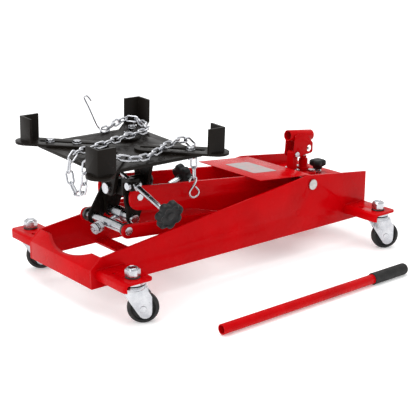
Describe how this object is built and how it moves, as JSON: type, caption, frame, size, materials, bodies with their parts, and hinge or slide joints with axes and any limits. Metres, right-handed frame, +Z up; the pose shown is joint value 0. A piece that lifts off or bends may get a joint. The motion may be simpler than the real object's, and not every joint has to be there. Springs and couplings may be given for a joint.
{
  "type": "transmission jack",
  "caption": "Low-profile wheeled transmission jack: hydraulic lift arm, tilting saddle with sliding arms and load chain, swivel casters and loose pump handle.",
  "frame": {"origin": "on the floor, on the middle plane, half way along the side rails", "axes": "+X from the front to the rear, +Y to the operator's right, +Z up"},
  "size_m": [0.9733, 0.7055, 0.465],
  "materials": {
    "red_paint": "gloss powder coat",
    "black_paint": "satin powder coat",
    "zinc_plate": "bright zinc",
    "ground_steel": "ground",
    "dark_oxide": "black oxide",
    "black_plastic": "moulded",
    "rubber_grip": "matt",
    "wheel_tread": "satin hard rubber"
  },
  "bodies": {
    "frame": {"left_rail": "red_paint", "right_rail": "red_paint", "front_cross_plate": "red_paint", "cross_strip": "red_paint", "rear_deck": "red_paint", "caster_brackets": "red_paint", "caster_stems": "zinc_plate", "caster_nuts": "zinc_plate", "caster_washers": "dark_oxide", "pivot_shafts": "ground_steel", "pump_block": "red_paint", "ram_cylinder": "red_paint", "pump_cylinder": "red_paint", "fulcrum_post": "red_paint", "pump_fasteners": "zinc_plate", "release_valve": "zinc_plate"},
    "ram": {"ram_piston": "ground_steel"},
    "lift_arm": {"left_arm_plate": "red_paint", "right_arm_plate": "red_paint", "ram_crank": "red_paint", "ram_roller": "ground_steel", "cover_plate": "red_paint", "upper_pins": "zinc_plate"},
    "lower_link": {"lower_links": "red_paint"},
    "level_link": {"level_plate": "black_paint", "lower_cross_shaft": "zinc_plate", "cross_shaft_washers": "dark_oxide"},
    "tilt_screw": {"tilt_screw": "zinc_plate", "tilt_knob": "black_plastic"},
    "head": {"head_frame": "black_paint", "tilt_trunnion": "zinc_plate", "side_swivel": "black_paint", "side_swivel_bolts": "zinc_plate"},
    "side_screw": {"side_screw": "zinc_plate", "side_knob": "black_plastic"},
    "saddle": {"saddle_plate": "black_paint", "saddle_lugs": "black_paint", "roll_shaft": "zinc_plate", "roll_washer": "dark_oxide", "saddle_bolts": "zinc_plate", "load_chain": "zinc_plate", "chain_long_hook": "zinc_plate", "chain_s_hook": "zinc_plate"},
    "pump_lever": {"pump_lever": "red_paint"},
    "plunger": {"pump_plunger": "ground_steel"},
    "release_knob": {"release_knob": "black_plastic"},
    "handle": {"handle_tube": "red_paint", "handle_grip": "rubber_grip"},
    "saddle_arm_front_left": {"saddle_arm_front_left": "black_paint"},
    "saddle_arm_front_right": {"saddle_arm_front_right": "black_paint"},
    "saddle_arm_rear_left": {"saddle_arm_rear_left": "black_paint"},
    "saddle_arm_rear_right": {"saddle_arm_rear_right": "black_paint"},
    "swivel_front_left": {"caster_fork_front_left": "zinc_plate"},
    "wheel_front_left": {"caster_wheel_front_left": "wheel_tread"},
    "swivel_front_right": {"caster_fork_front_right": "zinc_plate"},
    "wheel_front_right": {"caster_wheel_front_right": "wheel_tread"},
    "swivel_rear_left": {"caster_fork_rear_left": "zinc_plate"},
    "wheel_rear_left": {"caster_wheel_rear_left": "wheel_tread"},
    "swivel_rear_right": {"caster_fork_rear_right": "zinc_plate"},
    "wheel_rear_right": {"caster_wheel_rear_right": "wheel_tread"}
  },
  "joints": [
    {"name": "lift", "type": "hinge", "parent": "frame", "child": "lift_arm", "pos_m": [0.2525, 0, 0.196], "axis": [0, 1, 0], "range_deg": [-8, 48]},
    {"name": "ram_stroke", "type": "slide", "parent": "frame", "child": "ram", "axis": [-1, 0, 0], "range_m": [-0.0083, 0.0493]},
    {"name": "lower_link_pivot", "type": "hinge", "parent": "frame", "child": "lower_link", "pos_m": [0.2005, 0, 0.1245], "axis": [0, 1, 0], "range_deg": [-8, 48]},
    {"name": "level_link_pivot", "type": "hinge", "parent": "lift_arm", "child": "level_link", "pos_m": [-0.2745, 0, 0.2415], "axis": [0, 1, 0], "range_deg": [-48, 8]},
    {"name": "head_tilt", "type": "hinge", "parent": "level_link", "child": "head", "pos_m": [-0.2745, 0, 0.2415], "axis": [0, 1, 0], "range_deg": [-10, 10]},
    {"name": "tilt_screw_turn", "type": "hinge", "parent": "level_link", "child": "tilt_screw", "pos_m": [-0.3265, 0, 0.17], "axis": [0.9563, 0, 0.2924], "range_deg": [-920.1, 920.1]},
    {"name": "saddle_roll", "type": "hinge", "parent": "head", "child": "saddle", "pos_m": [-0.3265, 0, 0.258], "axis": [1, 0, 0], "range_deg": [-12, 8]},
    {"name": "side_screw_turn", "type": "hinge", "parent": "head", "child": "side_screw", "pos_m": [-0.3025, -0.084, 0.284], "axis": [0, -0.9537, -0.3007], "range_deg": [-996, 996]},
    {"name": "pump_stroke", "type": "hinge", "parent": "frame", "child": "pump_lever", "pos_m": [0.3105, 0, 0.247], "axis": [0, 1, 0], "range_deg": [-24, 0]},
    {"name": "plunger_stroke", "type": "slide", "parent": "frame", "child": "plunger", "axis": [0, 0, 1], "range_m": [0, 0.02]},
    {"name": "release_turn", "type": "hinge", "parent": "frame", "child": "release_knob", "pos_m": [0.4165, 0, 0.184], "axis": [0, 0, 1], "range_deg": [-90, 90]},
    {"name": "handle_lift_off", "type": "slide", "parent": "frame", "child": "handle", "axis": [0, 0, 1], "range_m": [0, 0.3]},
    {"name": "arm_slide_front_left", "type": "slide", "parent": "saddle", "child": "saddle_arm_front_left", "axis": [-0.7071, -0.7063, -0.0339], "range_m": [-0.02, 0.042]},
    {"name": "arm_slide_front_right", "type": "slide", "parent": "saddle", "child": "saddle_arm_front_right", "axis": [-0.7071, 0.7063, 0.0339], "range_m": [-0.02, 0.059]},
    {"name": "arm_slide_rear_left", "type": "slide", "parent": "saddle", "child": "saddle_arm_rear_left", "axis": [0.7071, -0.7063, -0.0339], "range_m": [-0.02, 0.051]},
    {"name": "arm_slide_rear_right", "type": "slide", "parent": "saddle", "child": "saddle_arm_rear_right", "axis": [0.7071, 0.7063, 0.0339], "range_m": [-0.012, 0.031]},
    {"name": "swivel_turn_front_left", "type": "hinge", "parent": "frame", "child": "swivel_front_left", "pos_m": [-0.4135, -0.234, 0.09], "axis": [0, 0, 1], "continuous": true},
    {"name": "wheel_turn_front_left", "type": "hinge", "parent": "swivel_front_left", "child": "wheel_front_left", "pos_m": [-0.39448, -0.24621, 0.038], "axis": [0.5402, 0.8415, 0], "continuous": true},
    {"name": "swivel_turn_front_right", "type": "hinge", "parent": "frame", "child": "swivel_front_right", "pos_m": [-0.4135, 0.234, 0.09], "axis": [0, 0, 1], "continuous": true},
    {"name": "wheel_turn_front_right", "type": "hinge", "parent": "swivel_front_right", "child": "wheel_front_right", "pos_m": [-0.39448, 0.22179, 0.038], "axis": [0.5402, 0.8415, 0], "continuous": true},
    {"name": "swivel_turn_rear_left", "type": "hinge", "parent": "frame", "child": "swivel_rear_left", "pos_m": [0.4235, -0.234, 0.09], "axis": [0, 0, 1], "continuous": true},
    {"name": "wheel_turn_rear_left", "type": "hinge", "parent": "swivel_rear_left", "child": "wheel_rear_left", "pos_m": [0.44252, -0.24621, 0.038], "axis": [0.5402, 0.8415, 0], "continuous": true},
    {"name": "swivel_turn_rear_right", "type": "hinge", "parent": "frame", "child": "swivel_rear_right", "pos_m": [0.4235, 0.234, 0.09], "axis": [0, 0, 1], "continuous": true},
    {"name": "wheel_turn_rear_right", "type": "hinge", "parent": "swivel_rear_right", "child": "wheel_rear_right", "pos_m": [0.44252, 0.22179, 0.038], "axis": [0.5402, 0.8415, 0], "continuous": true}
  ],
  "couplings": [
    {"joint": "ram_stroke", "follows": "lift", "m_per_rad": 0.0585},
    {"joint": "lower_link_pivot", "follows": "lift", "ratio": 1},
    {"joint": "level_link_pivot", "follows": "lift", "ratio": -1},
    {"joint": "tilt_screw_turn", "follows": "head_tilt", "ratio": 92},
    {"joint": "side_screw_turn", "follows": "saddle_roll", "ratio": 83},
    {"joint": "plunger_stroke", "follows": "pump_stroke", "m_per_rad": -0.0473}
  ]
}
